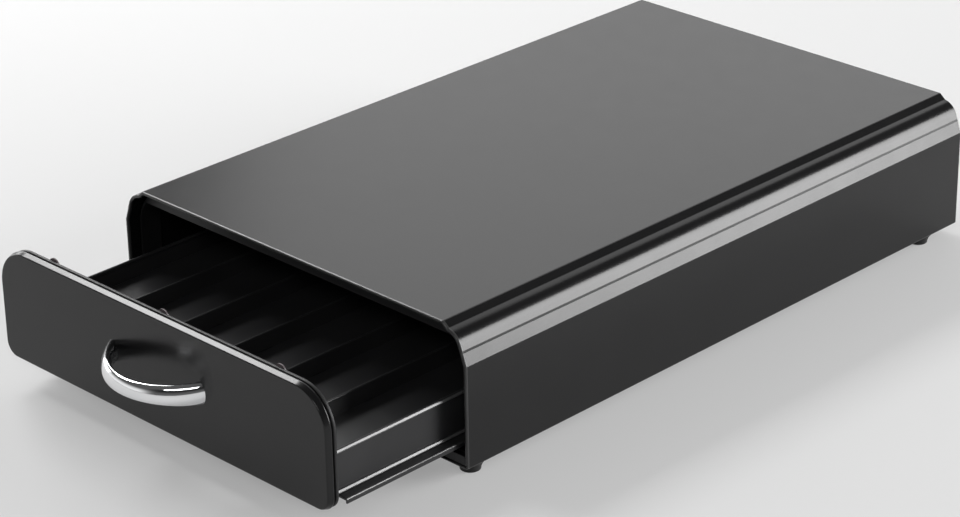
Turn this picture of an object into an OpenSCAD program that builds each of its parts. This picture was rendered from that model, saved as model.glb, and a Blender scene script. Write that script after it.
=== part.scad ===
// Coffee pod drawer: a low sheet-steel case that a coffee machine can stand on, with one
// six-lane drawer that runs out on roller slides. Millimetres, +Z up.
// The origin is on the table, in the middle of the object as it stands with its drawer part open.

/* [Case] */
// Width over the cover's sides
case_w = 270; // [250:1:330]
// Depth of the cover
case_d = 416; // [340:1:500]
// Height of the cover above its own lower edge
case_h = 80; // [79:1:100]
// Thickness of the folded sheet
sheet_t = 1; // [0.8:0.1:1.2]
// Depth of the hem folded back inside the cover's front edge
hem_depth = 8; // [6:1:12]
// Width of the cover's in-turned bottom flanges
flange_w = 20; // [18:1:24]
// Height of the base pan's front lip above the cover's lower edge
lip_h = 7; // [6:0.1:10.4]
// Height of the base pan's rear upstand
upstand_h = 21; // [16:1:30]

/* [Front frame] */
// Depth of the hoop that stiffens the mouth of the case
frame_depth = 14; // [10:1:20]
// Thickness of the hoop's strip
frame_t = 1.2; // [1:0.1:1.6]
// Radius of the hoop's top corners
frame_r = 27; // [24:1:30]
// Height of the hoop's down-turned stop flange
stop_flange_h = 10; // [8:1:12]

/* [Feet] */
// Height of a rubber foot
foot_h = 7; // [6:0.5:10]
// Largest diameter of a foot
foot_d = 17; // [14:0.5:19]
// Foot centre from the cover's side
foot_side = 10; // [10:0.5:14]
// Front foot centre from the cover's front edge
foot_front = 12; // [12:1:20]
// Rear foot centre from the cover's rear edge
foot_rear = 24; // [20:1:40]

/* [Slides] */
// Gap between the drawer's wall and the inside of the cover, which holds the slides
slide_gap = 10.8; // [9:0.1:14]
// Thickness of the guide rail
rail_t = 1.2; // [1:0.1:1.5]
// Radius of the roller fixed at the front of the guide rail
front_roller_r = 4.8; // [4:0.01:5.8]
// Width of a roller
roller_w = 4.4; // [3.6:0.1:5.4]
// Radius of a roller pin
pin_r = 2; // [1.5:0.1:2.4]
// Thickness of the drawer's runner
runner_t = 1.5; // [1.2:0.1:1.8]
// Front roller's axle behind the case's front edge
front_roller_y = 26; // [24:1:34]

/* [Drawer] */
// How far the drawer stands open
drawer_out = 91; // [20:1:200]
// Length of the tray that stays in the case when the drawer is fully out
tray_held = 110; // [90:1:140]
// Height of the tray's walls
tray_h = 25; // [20:1:30]
// Radius of the beads rolled along the tray's walls
bead_r = 1.2; // [1:0.1:1.4]
// Gap behind the closed tray
tray_rear_gap = 16; // [12:1:24]
// Height of the pod deck above the tray's floor
deck_h = 13.8; // [12:0.1:18]
// Thickness of the deck's sheet
deck_t = 0.8; // [0.6:0.1:1.2]
// Number of lanes
lanes = 6; // [6:1:6]
// Thickness of a lane divider, two layers of sheet
divider_t = 1.6; // [1.2:0.1:2]

/* [Front panel] */
// Thickness of the front panel
panel_t = 7; // [6.6:0.1:9]
// Thickness of the front panel's pressed skin
skin_t = 1.2; // [1:0.1:1.4]
// Gap between the panel and the hem at each side
panel_side_gap = 2.7; // [2:0.1:4]
// Gap between the panel and the hem at the top
panel_top_gap = 1.9; // [1.5:0.1:3]
// Gap between the panel and the base pan's lip
panel_bottom_gap = 2.4; // [2:0.1:5]
// Radius of the panel's top corners
panel_top_r = 22.5; // [20:0.5:28]
// Radius of the panel's bottom corners
panel_bottom_r = 9; // [7:1:14]
// Radius of the panel's front edge
panel_edge_r = 3; // [2:0.1:3]
// Thickness of the plate that closes the panel's back
plate_t = 2; // [1.6:0.1:2.1]
// Height of a closing bumper on the panel's back
bumper_h = 2; // [1.5:0.1:3]
// Diameter of a closing bumper
bumper_d = 8; // [5:0.5:8]
// Distance of the outer bumpers from the middle
bumper_x = 90; // [60:1:95]

/* [Handle] */
// Distance between the handle's two screws
handle_span = 67; // [62:1:72]
// How far the handle stands out of the panel
handle_reach = 24; // [22:1:28]
// Height of the handle above the panel's middle
handle_rise = 1.2; // [0:0.1:4]
// Height of the bow at its ends
handle_end_h = 13; // [11:0.1:16]
// Height of the bow in its middle
handle_mid_h = 9.6; // [8:0.1:12]
// Thickness of the bow at its ends
handle_end_t = 7.6; // [7.4:0.1:9]
// Thickness of the bow in its middle
handle_mid_t = 4.4; // [4:0.1:6]

/* [Hidden] */
$fn = 64;

// Clearances
seat_gap = 0.2;      // between sheets that lie side by side
stop_gap = 0.3;      // left at each end of the drawer's travel
running_gap = 0.05;  // between a pin and its roller, and a roller and its track
lift_gap = 0.15;     // under the front roller, which turns on its pin alone
runner_gap = 0.6;    // between the runner and the rail's roof above it
screw_gap = 0.05;    // round a screw in its tapped hole
hole_gap = 0.15;     // round a screw in a plain hole
slip_gap = 0.4;      // beside moving sheets, and round what is pushed in
past = 1;            // how far a cut runs past the face that it opens

// Fasteners: [shank radius, head radius, head height]
m3 = [1.5, 2.75, 1.6];
m4 = [2, 3.5, 2.4];
rivet = [1.5, 3, 1.2];

// Levels, from the table up
case_z = foot_h;
case_top = case_z + case_h;
floor_z = case_z + sheet_t;
base_top = floor_z + sheet_t;
lip_top = case_z + lip_h;
track_z = base_top + rail_t;
front_axle_z = track_z + lift_gap + front_roller_r;
runner_z = front_axle_z + front_roller_r + running_gap;
tray_z = runner_z + runner_t;
tray_floor = tray_z + sheet_t;
tray_top = tray_z + tray_h;
deck_top = tray_floor + deck_h;
rail_roof_z = tray_z + runner_gap;
rail_top = rail_roof_z + rail_t;
rear_roller_r = (rail_roof_z - track_z) / 2 - running_gap;
rear_axle_z = track_z + running_gap + rear_roller_r;
panel_z = lip_top + panel_bottom_gap;
panel_top = case_top - 2 * sheet_t - panel_top_gap;
handle_z = max((panel_z + panel_top) / 2 + handle_rise, tray_top + m4[1] + slip_gap);

// Widths, from the middle outwards
cover_x = case_w / 2;
inside_x = cover_x - sheet_t;
rail_x = inside_x - seat_gap;
tray_x = inside_x - slide_gap;
roller_x = tray_x + 1;
roller_end_x = roller_x + roller_w;
runner_lip_t = 1;
runner_x = roller_end_x + slip_gap + runner_lip_t;
runner_inner_x = tray_x - 11;
lug_x = tray_x - 1.2;
pin_end_gap = 0.1;
rail_roof_x = tray_x + bead_r + 2 * slip_gap;
rail_floor_x = cover_x - flange_w - 1;
panel_x = inside_x - sheet_t - panel_side_gap;
foot_x = cover_x - foot_side;
cover_screw_x = cover_x - 15.5;

// Depths. The case's front edge is 0, and so is the closed panel's face. A groove parts the panel's
// skin from the plate behind it.
skin_groove = 1.3;
plate_y = panel_t - plate_t;
skin_d = plate_y - skin_groove;
frame_y = panel_t + bumper_h + stop_gap;
rail_y = max(hem_depth, frame_y - stop_gap);
rail_end_y = case_d - 12;
back_y = case_d - 3;
tray_y = panel_t;
tray_back_y = case_d - tray_rear_gap;
drawer_travel = tray_back_y - tray_held;
runner_y = tray_y + 5;
rear_roller_y = tray_back_y - 8;
stop_tab_h = 3.3;
stop_reach = sqrt(pow(rear_roller_r, 2) - pow(rear_axle_z - track_z - stop_tab_h, 2));
stop_tab_y = rear_roller_y - drawer_travel - stop_gap - stop_reach;
centre_y = (case_d - drawer_out - handle_reach) / 2;

// Lanes
lane_room = 2 * (tray_x - sheet_t);
lane_w = (lane_room - (lanes - 1) * divider_t) / lanes;
lane_pitch = lane_w + divider_t;
deck_x = tray_x - max(sheet_t, bead_r) - seat_gap;
deck_y = tray_y + 2 * bead_r + slip_gap;
deck_end_y = tray_back_y - 2 * bead_r - slip_gap;
tab_l = 10;
tab_ys = [for (k = [1, 3, 5]) deck_y + (deck_end_y - deck_y) * k / 6];
rib_x = 1.5 * lane_pitch;
deck_foot_w = 20;

// Places of the feet and fasteners
foot_ys = [foot_front, case_d - foot_rear];
cover_screw_ys = [42, case_d / 2, case_d - 50];
rivet_x = tray_x - 6;
rivet_ys = [for (k = [0, 1, 2]) runner_y + 20 + k * (rear_roller_y - runner_y - 60) / 2];
deck_screw_x = tray_x - 16;
deck_screw_ys = [deck_y + 25, deck_end_y - 25];
panel_screw_xs = [-95, -45, 45, 95];
panel_screw_z = tray_floor + 7;
back_screw_xs = [-96, -32, 32, 96];
back_screw_z = base_top + 12;
foot_bolt_z = foot_h * 0.5;
handle_xs = [-handle_span / 2, handle_span / 2];
handle_thread = 4.6;
bow_x = handle_span / 2 + 1.4;

steel_black = "#333335";
steel_side = "#2c2c2e";
tray_grey = "#434345";
zinc = "#9a9c9e";
chrome = "#d6d8da";
nylon = "#d8d5cc";
rubber = "#1a1a1a";
silicone = "#b4acb0";

// ---- Outlines and helpers ----

function unit(v) = v / norm(v);
function left_of(v) = [-v[1], v[0]];
function wrap(list, i) = list[(i + len(list)) % len(list)];

// The cover's section as [x, z, bend radius], anticlockwise from the bottom right. Above the side,
// the sheet steps in over a cove, rolls over the shoulder and rises in a small step to the top.
function cover_half() = [
    [cover_x, case_z, 1.2],
    [cover_x, case_top - 21.2, 2.5],
    [cover_x - 2.95, case_top - 14.6, 1.2],
    [cover_x - 5.2, case_top - 5, 12],
    [cover_x - 12.6, case_top - 3, 1.2],
    [cover_x - 16.2, case_top, 2]];
function cover_corners() = concat(cover_half(),
    [for (i = [5:-1:0]) let(c = cover_half()[i]) [-c[0], c[1], c[2]]]);

// Corner i of an outline, moved inwards by t, with its bend radius changed to suit.
function inset_corner(c, i, t) =
    let(p = [wrap(c, i - 1)[0], wrap(c, i - 1)[1]],
        q = [c[i][0], c[i][1]],
        s = [wrap(c, i + 1)[0], wrap(c, i + 1)[1]],
        a = unit(q - p), b = unit(s - q),
        na = left_of(a), nb = left_of(b),
        turn = a[0] * b[1] - a[1] * b[0],
        m = q + t * (na + nb) / (1 + na * nb))
    [m[0], m[1], max(0.2, turn > 0 ? c[i][2] - t : c[i][2] + t)];

// The points of the arc that rounds corner i.
bend_steps = 6;
function bend(c, i) =
    let(p = [wrap(c, i - 1)[0], wrap(c, i - 1)[1]],
        q = [c[i][0], c[i][1]],
        s = [wrap(c, i + 1)[0], wrap(c, i + 1)[1]],
        r = c[i][2],
        a = unit(p - q), b = unit(s - q),
        half = acos(a * b) / 2,
        centre = q + unit(a + b) * r / sin(half),
        from = q + a * r / tan(half) - centre,
        to = q + b * r / tan(half) - centre,
        sweep = acos(min(1, from * to / (r * r))),
        side = sign(from[0] * to[1] - from[1] * to[0]))
    [for (k = [0:bend_steps])
        let(g = side * sweep * k / bend_steps)
        centre + [from[0] * cos(g) - from[1] * sin(g), from[0] * sin(g) + from[1] * cos(g)]];

module cover_outline(t) {
    moved = [for (i = [0:11]) inset_corner(cover_corners(), i, t)];
    polygon([for (i = [0:11]) each bend(moved, i)]);
}

// A round-topped arch, standing on z = low.
module arch(half_w, top, r, low) {
    translate([-half_w, low]) square([2 * half_w, top - r - low]);
    translate([-(half_w - r), low]) square([2 * (half_w - r), top - low]);
    for (s = [-1, 1]) translate([s * (half_w - r), top - r]) circle(r);
}

// The front panel's outline, drawn in by t.
module panel_outline(t) {
    half_w = panel_x - t;
    low = panel_z + t;
    top = panel_top - t;
    rt = panel_top_r - t;
    rb = panel_bottom_r - t;
    translate([-half_w, low + rb]) square([2 * half_w, top - low - rt - rb]);
    translate([-(half_w - rt), low + rb]) square([2 * (half_w - rt), top - low - rb]);
    translate([-(half_w - rb), low]) square([2 * (half_w - rb), top - low - rt]);
    for (s = [-1, 1]) {
        translate([s * (half_w - rt), top - rt]) circle(rt, $fn = 128);
        translate([s * (half_w - rb), low + rb]) circle(rb);
    }
}

// A flat outline in X and Z, made solid from y0 back to y1.
module deep(y0, y1) {
    translate([0, y1, 0]) rotate([90, 0, 0]) linear_extrude(y1 - y0) children();
}

module block(low, high) {
    translate(low) cube(high - low);
}

module case_frame() {
    translate([0, -centre_y, 0]) children();
}

module drawer_frame() {
    translate([0, -centre_y - drawer_out, 0]) children();
}

module on_side(side) {
    if (side > 0) children();
    else mirror([1, 0, 0]) children();
}

module both_sides() {
    for (side = [-1, 1]) on_side(side) children();
}

// A screw or rivet whose shank points up from its head's seat at z = 0.
module fastener(kind, length) {
    cylinder(r = kind[0], h = length);
    translate([0, 0, -kind[2]]) cylinder(r1 = kind[1] * 0.8, r2 = kind[1], h = kind[2] * 0.4);
    translate([0, 0, -kind[2] * 0.6]) cylinder(r = kind[1], h = kind[2] * 0.6);
}

// Holes up through a sheet that lies between z0 and z1.
module upright_holes(x, ys, r, z0, z1) {
    for (y = ys) translate([x, y, z0 - past]) cylinder(r = r, h = z1 - z0 + 2 * past);
}

// Holes from front to back through a sheet that stands between y0 and y1.
module holes_back(xs, z, r, y0, y1) {
    for (x = xs) translate([x, y1 + past, z]) rotate([90, 0, 0])
        cylinder(r = r, h = y1 - y0 + 2 * past);
}

// A roller pin's hole, sideways through a sheet that stands between x0 and x1.
module hole_across(x0, x1, y, z) {
    translate([x0 - past, y, z]) rotate([0, 90, 0])
        cylinder(r = pin_r + screw_gap, h = x1 - x0 + 2 * past);
}

// ---- Case ----

module cover_shell() color(steel_black) case_frame() {
    difference() {
        union() {
            deep(0, case_d) difference() {
                cover_outline(0);
                cover_outline(sheet_t);
                translate([-(cover_x - flange_w), case_z - past])
                    square([case_w - 2 * flange_w, sheet_t + 2 * past]);
            }
            deep(0, hem_depth) difference() {
                intersection() {
                    cover_outline(sheet_t * 0.5);
                    translate([-cover_x, base_top + seat_gap]) square([case_w, case_h]);
                }
                cover_outline(2 * sheet_t);
            }
        }
        both_sides() {
            upright_holes(cover_screw_x, cover_screw_ys, m3[0] + hole_gap, case_z, floor_z);
            upright_holes(foot_x, foot_ys, m4[0] + hole_gap, case_z, floor_z);
        }
    }
}

module base_pan() color(steel_side) case_frame() {
    front_y = slip_gap;
    lip_x = inside_x - sheet_t - slip_gap;
    upstand_x = rail_x - 13;
    difference() {
        union() {
            block([-rail_x, front_y, floor_z], [rail_x, back_y, base_top]);
            block([-lip_x, front_y, floor_z], [lip_x, front_y + sheet_t, lip_top]);
            block([-upstand_x, back_y - sheet_t, floor_z], [upstand_x, back_y, floor_z + upstand_h]);
        }
        both_sides() {
            upright_holes(cover_screw_x, cover_screw_ys, m3[0] + hole_gap, floor_z, base_top);
            upright_holes(foot_x, foot_ys, m4[0] + hole_gap, floor_z, base_top);
        }
        holes_back(back_screw_xs, back_screw_z, m3[0] + screw_gap, back_y - sheet_t, back_y);
    }
}

module back_panel() color(steel_black) case_frame() {
    flange_x = cover_x - 30;
    flange_d = 10;
    flange_z = case_top - sheet_t - seat_gap;
    difference() {
        union() {
            deep(back_y, back_y + sheet_t) intersection() {
                cover_outline(sheet_t + seat_gap);
                translate([-cover_x, base_top + seat_gap]) square([case_w, case_h]);
            }
            block([-flange_x, back_y - flange_d, flange_z - sheet_t],
                  [flange_x, back_y + sheet_t, flange_z]);
        }
        holes_back(back_screw_xs, back_screw_z, m3[0] + hole_gap, back_y, back_y + sheet_t);
    }
}

module front_frame() color(steel_side) case_frame() {
    low = rail_top + slip_gap;
    top = case_top - sheet_t;
    deep(frame_y, frame_y + frame_depth) difference() {
        arch(inside_x, top, frame_r, low);
        arch(inside_x - frame_t, top - frame_t, frame_r - frame_t, low - past);
    }
    deep(frame_y, frame_y + frame_t) intersection() {
        arch(inside_x - frame_t / 2, top - frame_t / 2, frame_r - frame_t / 2, low);
        translate([-cover_x, top - frame_t - stop_flange_h]) square([case_w, stop_flange_h + past]);
    }
}

// The case's half of a slide: a track, a wall with the front roller's pin, and a roof that keeps
// the rear roller down. A tab bent up from the track stops that roller when the drawer is out.
module guide_rail(side) color(zinc) case_frame() on_side(side) {
    difference() {
        union() {
            block([rail_floor_x, rail_y, base_top], [rail_x, rail_end_y, track_z]);
            block([rail_x - rail_t, rail_y, base_top], [rail_x, rail_end_y, rail_top]);
            block([rail_roof_x, rail_y, rail_roof_z], [rail_x, rail_end_y, rail_top]);
            block([roller_x + slip_gap, stop_tab_y - rail_t, base_top],
                  [roller_end_x - slip_gap, stop_tab_y, track_z + stop_tab_h]);
        }
        upright_holes(cover_screw_x, cover_screw_ys, m3[0] + screw_gap, base_top, track_z);
        upright_holes(foot_x, foot_ys, m4[0] + screw_gap, base_top, track_z);
        hole_across(rail_x - rail_t, rail_x, front_roller_y, front_axle_z);
    }
}

// A headed pin along +X. The roller runs between its head and the plate that it is riveted in.
module roller_pin(head_x, end_x) {
    head_t = 0.8;
    translate([head_x, 0, 0]) rotate([0, 90, 0]) cylinder(r = pin_r, h = end_x - head_x);
    translate([head_x - head_t, 0, 0]) rotate([0, 90, 0]) cylinder(r = pin_r + 0.75, h = head_t);
}

module front_roller_pins() color(zinc) case_frame() both_sides()
    translate([0, front_roller_y, front_axle_z]) roller_pin(roller_x - pin_end_gap, rail_x);

module cover_screws() color(zinc) case_frame() both_sides()
    for (y = cover_screw_ys) translate([cover_screw_x, y, case_z]) fastener(m3, 5.5);

module back_panel_screws() color(zinc) case_frame()
    for (x = back_screw_xs) translate([x, back_y + sheet_t, back_screw_z])
        rotate([90, 0, 0]) fastener(m3, 5.5);

// A turned rubber foot: flared under the case, tapered, and rounded where it stands.
module foot(x, y) color(rubber) case_frame() translate([x, y, 0]) {
    r = foot_d / 2;
    difference() {
        rotate_extrude() polygon([[0, 0], [r * 0.62, 0], [r * 0.67, foot_h * 0.08],
            [r * 0.7, foot_h * 0.25], [r * 0.76, foot_h * 0.45], [r * 0.85, foot_h * 0.65],
            [r * 0.94, foot_h * 0.82], [r, foot_h * 0.92], [r, foot_h], [0, foot_h]]);
        translate([0, 0, -past]) cylinder(r = m4[1] + slip_gap, h = foot_bolt_z + past);
        cylinder(r = m4[0] + hole_gap, h = foot_h + past);
    }
}

module foot_screws() color(zinc) case_frame() both_sides()
    for (y = foot_ys)
        translate([foot_x, y, foot_bolt_z]) fastener(m4, track_z - foot_bolt_z - 0.2);

// ---- Rollers ----

// A nylon roller along +X, with its bore on the pin's axis and a chamfer at each rim.
module roller(r) {
    chamfer = 0.4;
    bore = pin_r + running_gap;
    rotate([0, 90, 0]) rotate_extrude() polygon([[bore, 0], [r - chamfer, 0], [r, chamfer],
        [r, roller_w - chamfer], [r - chamfer, roller_w], [bore, roller_w]]);
}

module front_roller(side) color(nylon) case_frame() on_side(side)
    translate([roller_x, front_roller_y, front_axle_z]) roller(front_roller_r);

module rear_roller(side) color(nylon) drawer_frame() on_side(side)
    translate([roller_x, rear_roller_y, rear_axle_z]) roller(rear_roller_r);

// ---- Drawer ----

module drawer_tray() color(tray_grey) drawer_frame() {
    inner_x = tray_x - sheet_t;
    difference() {
        union() {
            block([-tray_x, tray_y, tray_z], [tray_x, tray_back_y, tray_floor]);
            block([-tray_x, tray_y, tray_z], [tray_x, tray_y + sheet_t, tray_top - bead_r]);
            block([-tray_x, tray_back_y - sheet_t, tray_z], [tray_x, tray_back_y, tray_top - bead_r]);
            both_sides() {
                block([inner_x, tray_y, tray_z], [tray_x, tray_back_y, tray_top - bead_r]);
                for (z = [tray_z + bead_r, tray_top - bead_r]) translate([tray_x, tray_back_y, z])
                    rotate([90, 0, 0]) cylinder(r = bead_r, h = tray_back_y - tray_y, $fn = 32);
            }
            for (y = [tray_y + bead_r, tray_back_y - bead_r])
                translate([-tray_x, y, tray_top - bead_r])
                    rotate([0, 90, 0]) cylinder(r = bead_r, h = 2 * tray_x, $fn = 32);
        }
        holes_back(panel_screw_xs, panel_screw_z, m4[0] + hole_gap, tray_y, tray_y + sheet_t);
        both_sides() {
            upright_holes(rivet_x, rivet_ys, rivet[0] + screw_gap, tray_z, tray_floor);
            upright_holes(deck_screw_x, deck_screw_ys, m3[0] + hole_gap, tray_z, tray_floor);
        }
    }
}

// The raised shelf that the pods stand on: a bridge of sheet with two ribs and two feet under it.
module pod_deck() color(tray_grey) drawer_frame() {
    slot_w = divider_t + seat_gap;
    slot_l = tab_l + seat_gap;
    difference() {
        union() {
            block([-deck_x, deck_y, deck_top - deck_t], [deck_x, deck_end_y, deck_top]);
            both_sides() {
                block([deck_x - deck_t, deck_y, tray_floor], [deck_x, deck_end_y, deck_top]);
                block([deck_x - deck_foot_w, deck_y, tray_floor],
                      [deck_x, deck_end_y, tray_floor + deck_t]);
                block([rib_x, deck_y, tray_floor], [rib_x + deck_t, deck_end_y, deck_top]);
            }
        }
        for (i = [1 - lanes / 2 : lanes / 2 - 1], y = tab_ys)
            translate([i * lane_pitch, y, deck_top])
                cube([slot_w, slot_l, 4 * deck_t], center = true);
        both_sides() upright_holes(deck_screw_x, deck_screw_ys, m3[0] + screw_gap,
                                   tray_floor, tray_floor + deck_t);
    }
}

// A strip of sheet folded double, with its round fold on top and three tabs through the deck.
module lane_divider(number) color(tray_grey) drawer_frame()
    translate([(number - lanes / 2) * lane_pitch, 0, 0]) {
        half = divider_t / 2;
        block([-half, deck_y, deck_top], [half, deck_end_y, tray_top - half]);
        translate([0, deck_end_y, tray_top - half])
            rotate([90, 0, 0]) cylinder(r = half, h = deck_end_y - deck_y, $fn = 32);
        for (y = tab_ys) block([-half, y - tab_l / 2, deck_top - 2 * deck_t],
                               [half, y + tab_l / 2, deck_top]);
    }

// The drawer's half of a slide: a flange that rides on the front roller, with a down-turned lip,
// and a lug at the back that carries the rear roller below it.
module runner(side) color(zinc) drawer_frame() on_side(side) {
    lug_half = 9;
    lug_low = track_z + 2 * slip_gap;
    cut_y = rear_roller_y - rear_roller_r - 2;
    lip_low = runner_z - 1.6;
    difference() {
        union() {
            block([runner_inner_x, runner_y, runner_z], [runner_x, cut_y, tray_z]);
            block([runner_inner_x, runner_y, runner_z], [tray_x, tray_back_y, tray_z]);
            block([runner_x - runner_lip_t, runner_y, lip_low], [runner_x, cut_y, tray_z]);
            block([lug_x, rear_roller_y - lug_half, lug_low], [tray_x, tray_back_y, tray_z]);
        }
        upright_holes(rivet_x, rivet_ys, rivet[0] + screw_gap, runner_z, tray_z);
        hole_across(lug_x, tray_x, rear_roller_y, rear_axle_z);
    }
}

module runner_rivets() color(zinc) drawer_frame() both_sides()
    for (y = rivet_ys) translate([rivet_x, y, runner_z]) fastener(rivet, tray_floor - runner_z);

module deck_screws() color(zinc) drawer_frame() both_sides()
    for (y = deck_screw_ys) translate([deck_screw_x, y, tray_z]) fastener(m3, 5);

module rear_roller_pins() color(zinc) drawer_frame() both_sides()
    translate([0, rear_roller_y, rear_axle_z]) mirror([1, 0, 0])
        roller_pin(-roller_end_x - pin_end_gap, -lug_x);

// ---- Front panel ----

// Half of the panel's section: its outward end is round in front, r from where it starts.
module panel_section(r) {
    e = panel_edge_r;
    intersection() {
        square([r, skin_d]);
        union() {
            square([r - e, skin_d]);
            translate([0, e]) square([r, skin_d - e]);
            translate([r - e, e]) circle(e);
        }
    }
}

// A quarter of the panel, turned about (x, z) from the angle start, clockwise from +X as seen
// from the front.
module panel_corner(x, z, r, start) {
    translate([x, 0, z]) rotate([-90, 0, 0]) rotate([0, 0, start])
        rotate_extrude(angle = 90, $fn = 128) panel_section(r);
}

// The pressed front skin: a plate whose face turns back over a round edge, open behind.
module front_panel() color(steel_black) drawer_frame() {
    top_x = panel_x - panel_top_r;
    top_z = panel_top - panel_top_r;
    low_x = panel_x - panel_bottom_r;
    low_z = panel_z + panel_bottom_r;
    difference() {
        union() {
            block([-top_x, 0, low_z], [top_x, skin_d, top_z]);
            both_sides() {
                panel_corner(top_x, top_z, panel_top_r, -90);
                panel_corner(low_x, low_z, panel_bottom_r, 0);
                translate([top_x, 0, low_z]) linear_extrude(top_z - low_z)
                    panel_section(panel_top_r);
            }
            translate([top_x, 0, top_z]) rotate([0, -90, 0]) linear_extrude(2 * top_x)
                panel_section(panel_top_r);
            translate([-low_x, 0, low_z]) rotate([0, 90, 0]) linear_extrude(2 * low_x)
                panel_section(panel_bottom_r);
        }
        deep(skin_t, panel_t + past) panel_outline(skin_t * 1.7);
        deep(panel_edge_r, panel_t + past) panel_outline(skin_t);
        holes_back(handle_xs, handle_z, m4[0] + hole_gap, 0, skin_t);
    }
}

// The plate that closes the panel's back, with a flange turned forward into the skin, tapped bosses
// and the handle's spacers.
module panel_back_plate() color(steel_side) drawer_frame() {
    boss_y = skin_t + 1.3;
    boss_r = 4;
    spacer_r = 4.5;
    root_y = plate_y + plate_t / 2;
    difference() {
        union() {
            deep(plate_y, panel_t) panel_outline(seat_gap);
            deep(max(panel_edge_r + seat_gap, skin_d - 1.4), root_y) difference() {
                panel_outline(skin_t + seat_gap);
                panel_outline(skin_t + seat_gap + sheet_t);
            }
            for (x = panel_screw_xs) translate([x, root_y, panel_screw_z])
                rotate([90, 0, 0]) cylinder(r = boss_r, h = root_y - boss_y);
            for (x = handle_xs) translate([x, root_y, handle_z])
                rotate([90, 0, 0]) cylinder(r = spacer_r, h = root_y - skin_t);
        }
        holes_back(panel_screw_xs, panel_screw_z, m4[0] + screw_gap, boss_y, panel_t);
        holes_back(handle_xs, handle_z, m4[0] + hole_gap, skin_t, panel_t);
    }
}

module panel_screws() color(zinc) drawer_frame()
    for (x = panel_screw_xs) translate([x, tray_y + sheet_t, panel_screw_z])
        rotate([90, 0, 0]) fastener(m4, 5);

// Self-adhesive silicone domes on the panel's back that meet the front frame's stop flange.
module closing_bumpers() color(silicone) drawer_frame()
    for (x = [-bumper_x, 0, bumper_x])
        translate([x, panel_t, panel_top - bumper_d / 2 + 1.2]) rotate([-90, 0, 0]) {
            cylinder(d = bumper_d, h = bumper_h * 0.5);
            translate([0, 0, bumper_h * 0.5])
                cylinder(d1 = bumper_d, d2 = bumper_d * 0.6, h = bumper_h * 0.5);
        }

// ---- Handle ----

// The bow's centre line is an arc in plan. Its section is an upright ellipse that is tall at the
// two ends and slimmer in the middle. Towards each end, the section turns into the panel's plane.
handle_rings = 32;
handle_sides = 20;
bow_depth = handle_reach - handle_mid_t / 2;
bow_r = (pow(bow_x, 2) + pow(bow_depth, 2)) / (2 * bow_depth);
bow_turn = asin(bow_x / bow_r);
function bow_ring(s) =
    let(a = s * bow_turn,
        near = pow(s, 2),
        flat = max(0, (abs(s) - 0.7) / 0.3),
        normal = [sin(a), -cos(a)],
        out = unit((1 - flat) * normal + flat * [sign(s), 0]),
        wide = (handle_mid_t + (handle_end_t - handle_mid_t) * near) / 2 / (out * normal),
        tall = (handle_mid_h + (handle_end_h - handle_mid_h) * near) / 2)
    [for (k = [0:handle_sides - 1])
        let(g = 360 * k / handle_sides)
        [bow_r * sin(a) + out[0] * cos(g) * wide,
         bow_r - bow_depth - bow_r * cos(a) + out[1] * cos(g) * wide,
         handle_z + sin(g) * tall]];

module bow_handle() color(chrome) drawer_frame() {
    rings = [for (i = [0:handle_rings]) bow_ring(2 * i / handle_rings - 1)];
    n = handle_sides;
    walls = [for (i = [0:handle_rings - 1], k = [0:n - 1])
        [i * n + k, i * n + (k + 1) % n, (i + 1) * n + (k + 1) % n, (i + 1) * n + k]];
    ends = [[for (k = [n - 1:-1:0]) k], [for (k = [0:n - 1]) handle_rings * n + k]];
    difference() {
        polyhedron(points = [for (ring = rings) each ring], faces = concat(walls, ends));
        holes_back(handle_xs, handle_z, m4[0] + screw_gap, past - handle_thread - 0.5, 0);
    }
}

module handle_screws() color(zinc) drawer_frame()
    for (x = handle_xs) translate([x, panel_t, handle_z])
        rotate([90, 0, 0]) fastener(m4, panel_t + handle_thread);

cover_shell();
base_pan();
back_panel();
front_frame();
guide_rail(-1);  // guide_rail_left
guide_rail(1);  // guide_rail_right
front_roller_pins();
cover_screws();
back_panel_screws();
foot(-foot_x, foot_front);  // foot_front_left
foot(foot_x, foot_front);  // foot_front_right
foot(-foot_x, case_d - foot_rear);  // foot_rear_left
foot(foot_x, case_d - foot_rear);  // foot_rear_right
foot_screws();
front_roller(-1);  // front_roller_left
front_roller(1);  // front_roller_right
rear_roller(-1);  // rear_roller_left
rear_roller(1);  // rear_roller_right
drawer_tray();
pod_deck();
lane_divider(1);  // lane_divider_1
lane_divider(2);  // lane_divider_2
lane_divider(3);  // lane_divider_3
lane_divider(4);  // lane_divider_4
lane_divider(5);  // lane_divider_5
runner(-1);  // runner_left
runner(1);  // runner_right
runner_rivets();
deck_screws();
rear_roller_pins();
front_panel();
panel_back_plate();
panel_screws();
closing_bumpers();
bow_handle();
handle_screws();
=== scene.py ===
"""Looks of the coffee pod drawer: folded and rolled sheet steel, a pressed front, a chromed bow and the
slides, built in the order in which the drawer is put together. Shapes are in millimetres."""

import math

import bmesh
import bpy
import numpy as np
from mathutils import Matrix, Vector


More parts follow.
